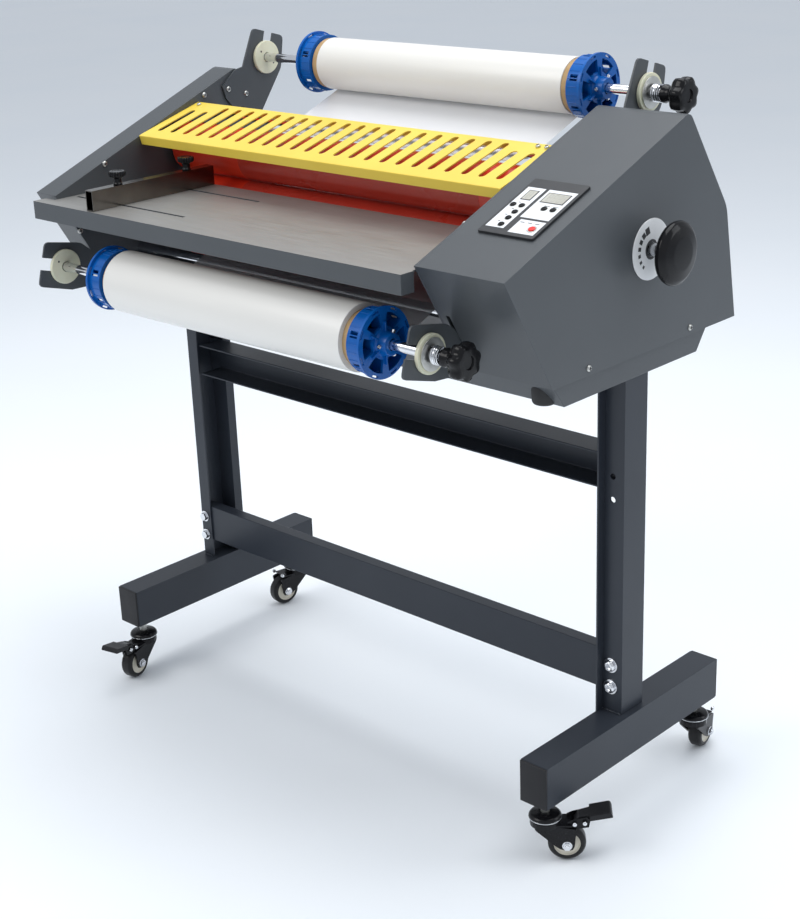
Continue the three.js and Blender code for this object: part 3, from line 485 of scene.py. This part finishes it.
for which in ("upper", "lower"):
    body = "supply_" + which
    axis = centre("supply_shaft_" + which)
    M = along_x(axis.y, axis.z)

    low, high = mm("supply_shaft_" + which)
    bm = bmesh.new()
    lathe(bm, rounded([(0, low.x), (6.7, low.x), (6.7, high.x), (0, high.x)], 1.2), M, 40)
    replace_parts(piece("shaft_" + which, bm, CHROME, body), "supply_shaft_" + which)

    # The roll: film wound on a cardboard core that stands out at both ends.
    low, high = mm("film_roll_" + which)
    radius = (high.z - low.z) / 2 - 0.15
    left, right = low.x + CORE_END, high.x - CORE_END
    bm = bmesh.new()
    lathe(bm, rounded([(35.4, left), (radius, left), (radius, right), (35.4, right)], 0.6), M, 120,
          closed=False)
    for end, sign in ((left, -1), (right, 1)):
        rings = [(radius - LAYER, end + sign * 0.05)]
        steps = max(2, int((radius - CORE_RADIUS) / LAYER))
        for k in range(steps + 1):
            r = radius - 0.6 - k * (radius - 0.6 - CORE_RADIUS) / steps
            rings.append((r, end + sign * (0.10 if k % 2 else -0.15)))
        lathe(bm, rings, M, 96, closed=False, mat=1)
    lathe(bm, rounded([(28.6, low.x), (35.9, low.x), (35.9, high.x), (28.6, high.x), (28.6, low.x)], 0.5),
          M, 96, closed=False, mat=2)
    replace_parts(piece("film_on_core_" + which, bm, [FILM, BAND, CARD], body),
                "film_roll_" + which)

    for side in ("left", "right"):
        # Core chuck: notched flange, windowed face, ribbed band and nose, with a hub and its screws.
        node = f"core_chuck_{which}_{side}"
        low, high = mm(node)
        face = low.x + 14 if side == "left" else high.x - 14
        inward = 1 if side == "left" else -1
        F = M @ Matrix.Translation((0, 0, face)) @ Matrix.Diagonal((1, 1, inward, 1))
        band = [38.4, 40.8]
        bm = bmesh.new()
        polar_plate(bm, [16.5, 20.5, 27, 37.2, 40.6, 43.0, 44.9], 0, 3.8, F, windows)
        polar_plate(bm, band, 3.8, 8, F)
        polar_plate(bm, band, 8, 20, F, band_slots)
        polar_plate(bm, band, 20, 24.5, F)
        polar_plate(bm, [25.2, 28, 38.6], 21, 24.5, F)
        lathe(bm, rounded([(25.2, 24), (25.2, 43.8), (27.9, 43.8), (27.9, 24), (25.2, 24)], 0.6), F, 72,
              closed=False)
        lathe(bm, rounded([(7.3, 30), (7.3, -13.8), (13.6, -13.8), (15.4, -2), (17.2, 0), (17.2, 4), (14, 30),
                           (7.3, 30)], 0.8), F, 64, closed=False)
        # The bevelled blocks come last: faces made after a bevel are stored in an order that varies.
        for k in range(24):
            rib = F @ Matrix.Rotation(2 * math.pi * (k + 0.5) / 24, 4, "Z")
            block(bm, (1.6, 1.4, 17), rib @ Matrix.Translation((40.6, 0, 15)), 0.3, 1)
        for k in range(6):
            spoke = F @ Matrix.Rotation(math.pi * k / 3, 4, "Z")
            block(bm, (12.5, 2.4, 4.5), spoke @ Matrix.Translation((20.5, 0, -1.4)), 0.5, 1)
            block(bm, (22, 2.0, 17), spoke @ Matrix.Translation((27, 0, 12)), 0.4, 1)
        obj = piece("chuck_" + which + "_" + side, bm, BLUE, body)
        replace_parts(obj, node)
        bm = bmesh.new()
        for k in range(3):
            S = (F @ Matrix.Rotation(2 * math.pi * k / 3 + 0.5, 4, "Z") @ Matrix.Translation((12.6, 0, -7))
                 @ Matrix.Rotation(math.pi / 2, 4, "Y"))
            lathe(bm, rounded([(0, 0), (2.6, 0), (2.6, 5.4), (1.3, 5.4), (1.3, 3.5), (0, 3.5)], 0.3), S, 16)
        piece("chuck_screws_" + which + "_" + side, bm, CHROME, body)

        # Nylon hub, fixed in its slot.
        node = f"supply_hub_{which}_{side}"
        low, high = mm(node)
        bm = bmesh.new()
        face = high.x - 0.1
        lathe(bm, rounded([(7.1, low.x), (8.3, low.x), (8.3, high.x - 5.4), (24.8, high.x - 5.4),
                           (24.8, face), (7.1, face), (7.1, low.x)], 0.9), M, 72, closed=False)
        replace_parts(piece("hub_" + which + "_" + side, bm, NYLON, "frame"), node)
        bm = bmesh.new()
        for k in range(2):
            a = math.pi * k + 0.9
            H = M @ Matrix.Translation((15.5 * math.cos(a), 15.5 * math.sin(a), face))
            lathe(bm, [(0, -1), (1.5, -1), (1.5, 0.12), (0, 0.12)], H, 16)
        piece("hub_pins_" + which + "_" + side, bm, PRINT_AND_SHADE, "frame")

    # Friction disc, spring and knob on the right.
    hub_high = mm(f"supply_hub_{which}_right")[1]
    disc_x = hub_high.x + 0.3
    bm = bmesh.new()
    lathe(bm, rounded([(7.2, disc_x), (20.5, disc_x), (20.5, disc_x + 1.6), (7.2, disc_x + 1.6),
                       (7.2, disc_x)], 0.4), M, 56, closed=False)
    piece("friction_disc_" + which, bm, ZINC, body)

    low, high = mm("tension_spring_" + which)
    turns, count, coil, wire = 4.5, 150, 10.4, 1.3
    reach = (high.x - low.x) - 2 * wire
    points = []
    for i in range(count + 1):
        t = i / count
        a = 2 * math.pi * turns * t
        points.append(Vector((coil * math.cos(a), coil * math.sin(a), low.x + wire + reach * t)))
    bm = bmesh.new()
    tube(bm, points, wire, 8, M)
    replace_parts(piece("spring_" + which, bm, CHROME, body), "tension_spring_" + which)

    low, high = mm("tension_knob_" + which)
    bm = bmesh.new()
    neck = [(7.3, low.x + 0.3), (11.6, low.x + 0.3), (11.9, low.x + 4), (10.4, low.x + 7), (10.0, low.x + 14)]
    head = [(13.5, low.x + 18, 0.5), (20.5, low.x + 19.5, 2.2), (23.4, low.x + 22.5, 3.4),
            (24.2, low.x + 28, 3.8), (23.6, high.x - 3.2, 3.6), (21.2, high.x - 0.8, 3.0),
            (16.5, high.x - 0.2, 1.0), (8.5, high.x - 0.4)]
    lathe(bm, neck + head + [(7.6, high.x - 2.5), (0, high.x - 2.8)], M, 112, closed=False, lobes=7)
    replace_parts(piece("knob_" + which + "_grip", bm, GLOSS_BLACK, "knob_" + which, sharp=50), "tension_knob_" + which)

# ---------------------------------------------------------------- film webs
roll_u, roll_l = centre("supply_shaft_upper"), centre("supply_shaft_lower")
idl_u, idl_l = centre("idler_upper"), centre("idler_lower")
rol_u, rol_l = centre("roller_upper"), centre("roller_lower")


def tangent(c1, r1, c2, r2, side1, side2):
    """Where a line touches two circles; a side is +1 on the left of the way from the first to the second."""
    dx, dy = c2[0] - c1[0], c2[1] - c1[1]
    a = math.atan2(dy, dx) + math.acos((side1 * r1 - side2 * r2) / math.hypot(dx, dy))
    n = Vector((math.cos(a), math.sin(a)))
    return Vector(c1) + n * r1 * side1, Vector(c2) + n * r2 * side2


def arc(c, r, start, end, steps):
    """Points on a circle from one point to another, the way round that steps' sign says."""
    a0 = math.atan2(start.y - c[1], start.x - c[0])
    a1 = math.atan2(end.y - c[1], end.x - c[0])
    count = abs(steps)
    if steps > 0 and a1 < a0:
        a1 += 2 * math.pi
    if steps < 0 and a1 > a0:
        a1 -= 2 * math.pi
    angles = [a0 + (a1 - a0) * i / count for i in range(1, count)]
    return [Vector((c[0] + r * math.cos(a), c[1] + r * math.sin(a))) for a in angles]


def web(name, path, left, right, mat, body, over, columns=24):
    """A sheet of film from left to right along a path of (y, z) points."""
    bm = bmesh.new()
    xs = [left + (right - left) * k / columns for k in range(columns + 1)]
    rows = [[bm.verts.new(P(x, p.x, p.y)) for x in xs] for p in path]
    for a, b in zip(rows, rows[1:]):
        for k in range(columns):
            bm.faces.new((a[k], a[k + 1], b[k + 1], b[k]))
    obj = piece(name, bm, mat, body, sharp=60)
    return obj


def node_radius(node):
    low, high = mm(node)
    return (high.z - low.z) / 2


GAP = 0.5
NIP_SETBACK = 6
SHADE_FROM = 16
ends = {w: (mm("film_roll_" + w)[0].x + CORE_END, mm("film_roll_" + w)[1].x - CORE_END)
        for w in ("upper", "lower")}
wound = {w: node_radius("film_roll_" + w) for w in ("upper", "lower")}
idler_r = node_radius("idler_upper")
roller_r = node_radius("roller_upper")


def thread(roll, roll_r, roll_side, idler, roller, wrap, nip_side):
    """The film's way from its roll past the idler, and then round the roller to the nip."""
    c_roll, c_idler, c_roller = (roll.y, roll.z), (idler.y, idler.z), (roller.y, roller.z)
    a, b = tangent(c_roll, roll_r + GAP, c_idler, idler_r + GAP, roll_side, 1)
    c, d = tangent(c_idler, idler_r + GAP, c_roller, roller_r + GAP, 1, -1)
    nip_height = (roller_r + GAP) * math.cos(math.asin(NIP_SETBACK / roller_r))
    nip = Vector((roller.y - NIP_SETBACK, roller.z + nip_side * nip_height))
    lead = [a + (b - a) * k / 8 for k in range(8)]
    around = [b] + arc(c_idler, idler_r + GAP, b, c, -6) + [c]
    climb = [c + (d - c) * k / 6 for k in range(1, 6)]
    return lead + around + climb, [d] + arc(c_roller, roller_r + GAP, d, nip, wrap) + [nip]


upper_lead, upper_wrap = thread(roll_u, wound["upper"], 1, idl_u, rol_u, 16, -1)
lower_lead, lower_wrap = thread(roll_l, wound["lower"], -1, idl_l, rol_l, -16, 1)
upper = web("upper_film_web", upper_lead, *ends["upper"], WEB, None, "film_on_core_upper")
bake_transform(upper)
web("upper_film_on_roller", upper_wrap, *ends["upper"], CLING, "pressure_carriage", "roller_upper_turned")
lower = web("lower_film_web", lower_lead, *ends["lower"], [WEB, SHADED_WEB_FILM], "frame", "film_on_core_lower")
# Painted shade: the lower web is drawn darker from just before the idler on.
for face in lower.data.polygons:  # darker from just before the idler on
    if face.center.y > P(0, idl_l.y - SHADE_FROM, 0).y:
        face.material_index = 1
web("lower_film_on_roller", lower_wrap, *ends["lower"], CLING, "frame", "roller_lower_turned")

# ---------------------------------------------------------------- side guide clamps
for end in ("front", "rear"):
    low, high = mm("guide_clamp_" + end)
    mid = (low + high) / 2
    bm = bmesh.new()
    M = along_z(mid.x, mid.y)
    base = mm("side_guide")[1].z + 0.3
    stalk = [(0, base), (6.3, base), (6.4, base + 1.5), (5.4, base + 3), (5.4, base + 8), (7.5, base + 10.6)]
    head = [(10.5, base + 11.2, 0.8), (11.9, base + 12.8, 1.5), (11.9, high.z - 1.6, 1.5),
            (10.8, high.z - 0.3, 1.0), (7.5, high.z - 0.1), (6.8, high.z - 0.6), (0, high.z - 0.8)]
    lathe(bm, stalk + head, M, 108, closed=False, lobes=18)
    lathe(bm, [(0, low.z), (2.0, low.z), (2.0, base + 1), (0, base + 1)], M, 16, closed=False)
    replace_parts(piece("clamp_knob_" + end, bm, GLOSS_BLACK, "clamp_" + end),
                "guide_clamp_" + end)
    bm = bmesh.new()
    nut = M @ Matrix.Translation((0, 0, low.z + 1.2))
    prism(bm, hexagon(5.2), 0, 4, nut)
    lathe(bm, rounded([(2.3, 5.2), (7.5, 5.2), (7.5, 6.4), (2.3, 6.4), (2.3, 5.2)], 0.3), nut, 32,
          closed=False)
    piece("clamp_nut_" + end, bm, ZINC, "clamp_" + end)

# ---------------------------------------------------------------- casters
for corner, heading in (("front_right", 40), ("front_left", -77), ("rear_right", 100), ("rear_left", -100)):
    low, high = mm("caster_wheel_" + corner)
    hub = (low + high) / 2
    turn = Matrix.Rotation(math.radians(heading), 4, "Z")
    # local x trails along the heading, local z runs along the axle
    W = Matrix.Translation(P(hub.x, hub.y, hub.z)) @ turn @ Matrix.Rotation(-math.pi / 2, 4, "X") @ SCALE
    bm = bmesh.new()
    lathe(bm, rounded([(17.4, -9.9), (21.5, -9.9), (24.9, -6.4), (24.9, 6.4), (21.5, 9.9), (17.4, 9.9),
                       (17.4, -9.9)], 1.6), W, 80, closed=False)
    rim = [(4.6, 9.0), (8, 9.0), (9.5, 7.6), (15.6, 7.6), (16.6, 9.4), (17.6, 9.4)]
    lathe(bm, rounded([(r, -h) for r, h in rim] + rim[::-1] + [(4.6, -9.0)], 0.5), W, 72, closed=False, mat=1)
    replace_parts(piece("wheel_turned_" + corner, bm, [TYRE, CREAM], "wheel_" + corner),
                "caster_wheel_" + corner)
    bm = bmesh.new()
    for side in (-1, 1):
        S = W @ Matrix.Rotation(0 if side > 0 else math.pi, 4, "X")
        prism(bm, hexagon(5.6), 14.6, 18.0, S)
        lathe(bm, rounded([(0, 14.4), (6.6, 14.4), (6.6, 15.2), (0, 15.2)], 0.3), S, 32, closed=False)
        lathe(bm, rounded([(0, 17.6), (3.6, 17.6), (3.2, 19.4), (0, 19.6)], 0.8), S, 24, closed=False)
        rivets = ((9.5, 32.0), (22.5, 33.5))[:2 if corner.startswith("front") else 1]
        for along, up in rivets:
            R = S @ Matrix.Translation((along, -up if side > 0 else up, 0))
            lathe(bm, rounded([(0, 12), (3.1, 12), (3.0, 15.2), (1.8, 16.2), (0, 16.4)], 0.6), R, 20,
                  closed=False)
    piece("axle_bolts_" + corner, bm, CHROME, "caster_" + corner)
    stem_low, stem_high = mm("caster_stem_" + corner)
    stem = (stem_low + stem_high) / 2
    C = along_z(stem.x, stem.y)
    bm = bmesh.new()
    lathe(bm, rounded([(14, 60.6), (19.6, 60.6), (21.4, 62.0), (21.4, 64.6), (19.0, 67.2), (13.0, 68.6),
                       (9.5, 69.4), (6.2, 69.4)], 1.2), C, 64, closed=False)
    lathe(bm, [(6.2, 69.4), (14, 60.6)], C, 64, closed=False)
    piece("race_cap_" + corner, bm, CASTER, "frame")
    bm = bmesh.new()
    lathe(bm, rounded([(19.7, 61.2), (21.8, 61.2), (21.8, 62.2), (19.7, 62.2), (19.7, 61.2)], 0.3), C, 64,
          closed=False)
    piece("race_ring_" + corner, bm, CHROME, "frame")
    if corner.startswith("front"):
        # Bracket between the cheeks that the pedal's cam presses on.
        bm = bmesh.new()
        L = Matrix.Translation(P(stem.x, stem.y, 0)) @ turn @ SCALE @ Matrix.Rotation(math.pi / 2, 4, "X")
        outline = [(30, 47), (56, 51), (58, 62), (53, 66), (36, 62), (28, 58)]
        for side in (-1, 1):
            prism(bm, outline, 9.6, 11.2, L @ Matrix.Scale(side, 4, (0, 0, 1)))
        piece("brake_bracket_" + corner, bm, CASTER, "caster_" + corner)

# ---------------------------------------------------------------- stand fittings
for side in ("left", "right"):
    low, high = mm("foot_" + side)
    mid = (low + high) / 2
    for y, s in ((low.y, -1), (high.y, 1)):
        bm = bmesh.new()
        block(bm, (high.x - low.x - 0.4, 3.2, high.z - low.z - 0.4),
              Matrix.Translation(P(mid.x, y + s * 1.1, mid.z)) @ SCALE, 1.1, 3)
        block(bm, (high.x - low.x - 6, 12, high.z - low.z - 6),
              Matrix.Translation(P(mid.x, y - s * 6, mid.z)) @ SCALE, 0.8, 2)
        piece("foot_cap_" + side + ("_front" if s < 0 else "_rear"), bm, SATIN_BLACK, "frame")


def socket_bolt(bm, M, r=8.2, head=6.0):
    """A washer, and a round head with a six-sided socket."""
    lathe(bm, rounded([(3.0, -2), (r + 2.4, -2), (r + 2.4, 1.4), (3.0, 1.4), (3.0, -2)], 0.3), M, 40,
          closed=False)
    lathe(bm, rounded([(0, 0), (r, 1.4), (r, head - 1.6), (r - 2.2, head + 0.9), (r * 0.52, head + 1.2)],
                      0.8), M, 40, closed=False)
    lathe(bm, [(r * 0.52, head + 1.2), (r * 0.50, head - 2.2), (0, head - 2.4)], M, 6, closed=False)


right = mm("upright_right")[1].x
left = mm("upright_left")[0].x
FLANGE_Y = -112.2
bm = bmesh.new()
for z in (217.0, 185.0):
    socket_bolt(bm, facing(right - 17.75, FLANGE_Y, z, (0, -1, 0)))
    N = facing(left + 8.5, FLANGE_Y, z, (0, -1, 0))
    prism(bm, hexagon(6.6), 0.2, 6.0, N)
    lathe(bm, rounded([(0, 0), (9, 0), (9, 1.4), (0, 1.4)], 0.3), N, 32, closed=False)
    socket_bolt(bm, facing(left, -99, z, (-1, 0, 0)), 6.4, 4.6)
piece("stand_bolts", bm, CHROME, "frame")

# Weld beads where the legs meet the feet.
bm = bmesh.new()
FOOT_TOP = 149.0
for x0, x1 in ((right - 31, right - 2), (left + 2, left + 20)):
    points = [Vector((x0 + (x1 - x0) * k / 26, FLANGE_Y - 1.0 + 0.5 * math.sin(k * 1.9),
                      FOOT_TOP + 0.4 * math.sin(k * 2.7))) for k in range(27)]
    tube(bm, points, [1.3 + 0.5 * math.sin(k * 1.35) ** 2 for k in range(27)], 8, along_z(0, 0))
piece("weld_beads", bm, SHADED_STAND_COAT, "frame")


def pan_screw(bm, M, r=4.2):
    """A domed head with a cross in the second material, drawn as dark bars on the dome: painted shade standing in for
    the recess.
    """
    lathe(bm, rounded([(0, -1), (r, -1), (r, 1.2), (r * 0.62, 2.4), (0, 2.6)], 0.8), M, 28, closed=False)
    for turned in (0, math.pi / 2):
        painted_cross = M @ Matrix.Rotation(turned, 4, "Z") @ Matrix.Translation((0, 0, 2.6))
        block(bm, (r * 1.15, 0.9, 0.5), painted_cross, 0, 1, 1)


bay_left = mm("side_plate_left")[1].x
bm = bmesh.new()
for y, z in ((-259, 823), (-63, 895), (-314, 735), (-228, 663)):
    pan_screw(bm, facing(bay_left, y, z, (1, 0, 0)))
lobe_x = mm("supply_fork_upper_left")[1].x + 0.15
for y, z in ((-17, 898), (18, 887)):
    pan_screw(bm, facing(lobe_x, y, z, (1, 0, 0)))
piece("plate_screws_left", bm, [ZINC, PRINT_AND_SHADE], "frame")
bay_right = mm("side_plate_right")[0].x
bm = bmesh.new()
for y, z in ((-259, 823), (-63, 895), (18, 887), (-228, 663)):
    pan_screw(bm, facing(bay_right, y, z, (-1, 0, 0)))
piece("plate_screws_right", bm, [ZINC, PRINT_AND_SHADE], "frame")
# The lobe by which the upper left fork is screwed to the side plate.
bm = bmesh.new()
lobe = [(-28, 903), (-22, 884), (-8, 868), (52, 868), (60, 905), (30, 930), (0, 925), (-16, 913)]
prism(bm, lobe, lobe_x - 2.9, lobe_x, Matrix.Translation(P(0, 0, 0)) @ SIDEWAYS @ SCALE)
piece("fork_lobe_upper_left", bm, PAINT, "frame")
outer_right = mm("cover_right")[1].x
outer_left = mm("cover_left")[0].x
bm = bmesh.new()
for y in (-196, 16):
    pan_screw(bm, facing(outer_right, y, 655, (1, 0, 0)))
piece("cover_screws", bm, [ZINC, PRINT_AND_SHADE], "frame")
GUARD_SLOPE = 0.2757
slope_up = Vector((0, -math.sin(GUARD_SLOPE), math.cos(GUARD_SLOPE)))
bm = bmesh.new()
for x in (bay_left + 14, bay_right - 14, bay_right - 28):
    pan_screw(bm, facing(x, -86, 885.2, slope_up), 3.2)
piece("guard_screws", bm, [ZINC, PRINT_AND_SHADE], "frame")

# A rubber foot under the front of each cover.
bm = bmesh.new()
for x in (outer_right - 34, outer_left + 30):
    lathe(bm, rounded([(0, 616), (13, 616), (15, 619), (16, 640), (0, 640)], 1.5), along_z(x, -238), 40,
          closed=False)
piece("rubber_feet", bm, RUBBER, "frame")

# ---------------------------------------------------------------- control panel
# The cover's top climbs from its front edge by RISE over RUN; s counts up the slope.
RUN, RISE = 355, 137
SLOPE = Matrix.Translation(P(0, -350, 792)) @ Matrix.Rotation(math.atan2(RISE, RUN), 4, "X") @ SCALE
TOP = 3.3


def tile(bm, x0, x1, s0, s1, height=0.35, lift=0.0, mat=0):
    """A thin field on the panel, lift above its face."""
    middle = Matrix.Translation(((x0 + x1) / 2, (s0 + s1) / 2, TOP + lift + height / 2 - 0.05))
    block(bm, (x1 - x0, s1 - s0, height), SLOPE @ middle, 0.15 if height > 0.2 else 0, 1, mat)


px = bay_right + 33  # left edge of the panel
bm = bmesh.new()
tile(bm, px + 4, px + 31, 92, 178)
tile(bm, px + 36, px + 78, 118, 178)
tile(bm, px + 41, px + 78, 87, 114)
piece("panel_fields", bm, LABEL, "frame")
bm = bmesh.new()
for x0, x1 in ((px + 11, px + 26), (px + 40, px + 74)):
    tile(bm, x0, x1, 151, 172, 0.4, 0.3)
    tile(bm, x0 + 1.4, x1 - 1.4, 152.4, 170.6, 0.3, 0.62, 1)
piece("panel_displays", bm, [PRINT_AND_SHADE, WINDOW], "frame")
bm = bmesh.new()
bars = [(0, ds, 4.0, 0.8) for ds in (17.2, 10.4, 3.6)]
bars += [(dx, ds, 0.8, 6) for ds in (13.8, 7.0) for dx in (-2, 2)]
for x in [px + 18.2] + [px + 48.5 + 7.4 * k for k in range(4)]:
    for dx, ds, w, h in bars:
        tile(bm, x + dx - w / 2, x + dx + w / 2, 151 + ds - h / 2, 151 + ds + h / 2, 0.1, 0.9)
piece("panel_digits", bm, SEGMENT, "frame")
bm = bmesh.new()
keys = [(px + 10, 139.3), (px + 23, 139.3), (px + 23, 125.4), (px + 23, 112.5), (px + 23, 98.6),
        (px + 56, 139.3), (px + 69, 139.3)]
for x, s in keys:
    K = SLOPE @ Matrix.Translation((x, s, TOP))
    lathe(bm, rounded([(0, 0), (4.0, 0), (4.0, 1.0), (3.3, 1.9), (0, 2.0)], 0.5), K, 32, closed=False)
    lathe(bm, rounded([(0, 0.1), (4.9, 0.1), (4.9, 0.5), (0, 0.5)], 0.1), K, 32, closed=False, mat=1)
piece("panel_keys", bm, [GLOSS_BLACK, ZINC], "frame")
bm = bmesh.new()
for x, s in keys:
    x0, x1 = (x - 9.5, x - 6.0) if x < px + 30 else (x - 4, x + 4)
    tile(bm, x0, x1, s + 5.5, s + 6.6, 0.1, 0.32)
for k in range(3):
    tile(bm, px + 44 + 11 * k, px + 50 + 11 * k, 108, 109.2, 0.1, 0.32)
piece("panel_marks", bm, PRINT_AND_SHADE, "frame")
bm = bmesh.new()
lathe(bm, rounded([(4.9, 0), (6.4, 0), (6.4, 1.0), (4.9, 1.0), (4.9, 0)], 0.3),
      SLOPE @ Matrix.Translation((px + 69, 98, TOP - 0.1)), 40, closed=False)
piece("start_bezel", bm, ZINC, "frame")

# ---------------------------------------------------------------- pressure dial and knob
dial = centre("pressure_dial")
bm = bmesh.new()
low, high = mm("pressure_dial")
DX = along_x(dial.y, dial.z)
lathe(bm, rounded([(8.8, low.x), (37.9, low.x), (37.9, high.x), (8.8, high.x), (8.8, low.x)], 0.4), DX, 96,
      closed=False)
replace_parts(piece("dial_plate", bm, DIAL, "frame"), "pressure_dial")
bm = bmesh.new()
for k, size in enumerate((9.2, 7.2, 6.2, 5.6, 5.0, 4.5, 4.0)):
    a = math.radians(200 + 20 * k)
    T = DX @ Matrix.Rotation(a, 4, "Z") @ Matrix.Translation((25, 0, high.x + 0.06))
    block(bm, (size, size * 0.9, 0.12), T, 0, 1)
f = high.x + 0.02
lathe(bm, [(9, f), (12.5, f), (12.5, f + 0.12), (9, f + 0.12), (9, f)], DX, 48, closed=False)
piece("dial_marks", bm, PRINT_AND_SHADE, "frame")
low, high = mm("pressure_knob")
bm = bmesh.new()
f = high.x - 7
lathe(bm, rounded([(9.2, f - 27), (14, f - 27), (15.5, f - 20), (20, f - 16), (31, f - 13.4), (37.6, f - 10),
                   (39.9, f - 5), (38.6, f - 0.5), (33, f + 3), (20, f + 5.9), (0, f + 6.9)], 2.0), DX, 96,
      closed=False)
lathe(bm, [(9.2, f - 27), (0, f - 27)], DX, 96, closed=False)
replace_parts(piece("mushroom_knob", bm, GLOSS_BLACK, "pressure_control"),
            "pressure_knob")
bm = bmesh.new()
lathe(bm, rounded([(0, low.x), (5.9, low.x), (5.9, outer_right + 2.6), (8.2, outer_right + 2.6),
                   (8.2, f - 24), (0, f - 24)], 0.6), DX, 48, closed=False)
cam = along_x(dial.y - 4, dial.z)
lathe(bm, rounded([(0, low.x), (13.8, low.x), (13.8, low.x + 10), (0, low.x + 10)], 0.6), cam, 48,
      closed=False)
piece("knob_shaft", bm, STEEL, "pressure_control")

# ---------------------------------------------------------------- floor, light and camera
bm = bmesh.new()
bmesh.ops.create_grid(bm, x_segments=1, y_segments=1, size=14)
mesh = bpy.data.meshes.new("floor")
bm.to_mesh(mesh)
bm.free()
floor = bpy.data.objects.new("floor", mesh)
floor.location.z = -0.0005
bpy.context.scene.collection.objects.link(floor)
mesh.materials.append(material("pale_floor", (0.92, 0.95, 0.98), 0.6, second=(0.89, 0.93, 0.97),
                               tint_scale=1.5, rough_spread=0.05))

world = bpy.data.worlds.new("studio")
bpy.context.scene.world = world
world.use_nodes = True
world.node_tree.nodes["Background"].inputs["Color"].default_value = (0.88, 0.93, 1.0, 1)
world.node_tree.nodes["Background"].inputs["Strength"].default_value = 0.66


def area_light(name, where, at, size, power, colour=(1, 1, 1)):
    light = bpy.data.lights.new(name, "AREA")
    light.shape = "RECTANGLE"
    light.size, light.size_y = size
    light.energy = power
    light.color = colour
    obj = bpy.data.objects.new(name, light)
    obj.location = where
    obj.rotation_euler = (Vector(at) - Vector(where)).to_track_quat("-Z", "Y").to_euler()
    bpy.context.scene.collection.objects.link(obj)


area_light("key", (-1.2, -2.6, 3.0), (0, 0, 0.75), (2.2, 1.6), 46, (1.0, 0.985, 0.96))
area_light("overhead", (0.2, 0.5, 3.2), (0, 0, 0.7), (3.0, 2.0), 62, (0.98, 0.99, 1.0))
area_light("rim", (2.6, 1.8, 1.9), (0, 0, 0.8), (1.2, 1.8), 14, (0.94, 0.97, 1.0))

# The camera's place, angles and lens were solved from the object's straight edges.
CAMERA_AT = P(1573.7, -1713.2, 1265.9)
azimuth, elevation, roll = (math.radians(v) for v in (43.90, 20.82, -2.20))
back = Vector((math.sin(azimuth) * math.cos(elevation), -math.cos(azimuth) * math.cos(elevation),
               math.sin(elevation)))
side = (-back).cross(Vector((0, 0, 1))).normalized()
up = side.cross(-back)
side, up = side * math.cos(roll) + up * math.sin(roll), up * math.cos(roll) - side * math.sin(roll)
camera = bpy.data.objects.new("camera", bpy.data.cameras.new("camera"))
camera.matrix_world = Matrix.Translation(CAMERA_AT) @ Matrix((side, up, back)).transposed().to_4x4()
camera.data.sensor_fit = "HORIZONTAL"
camera.data.sensor_width = 36
camera.data.lens = 75.1
camera.data.clip_end = 60
bpy.context.scene.collection.objects.link(camera)
bpy.context.scene.camera = camera
bpy.context.scene.view_settings.view_transform = "Standard"
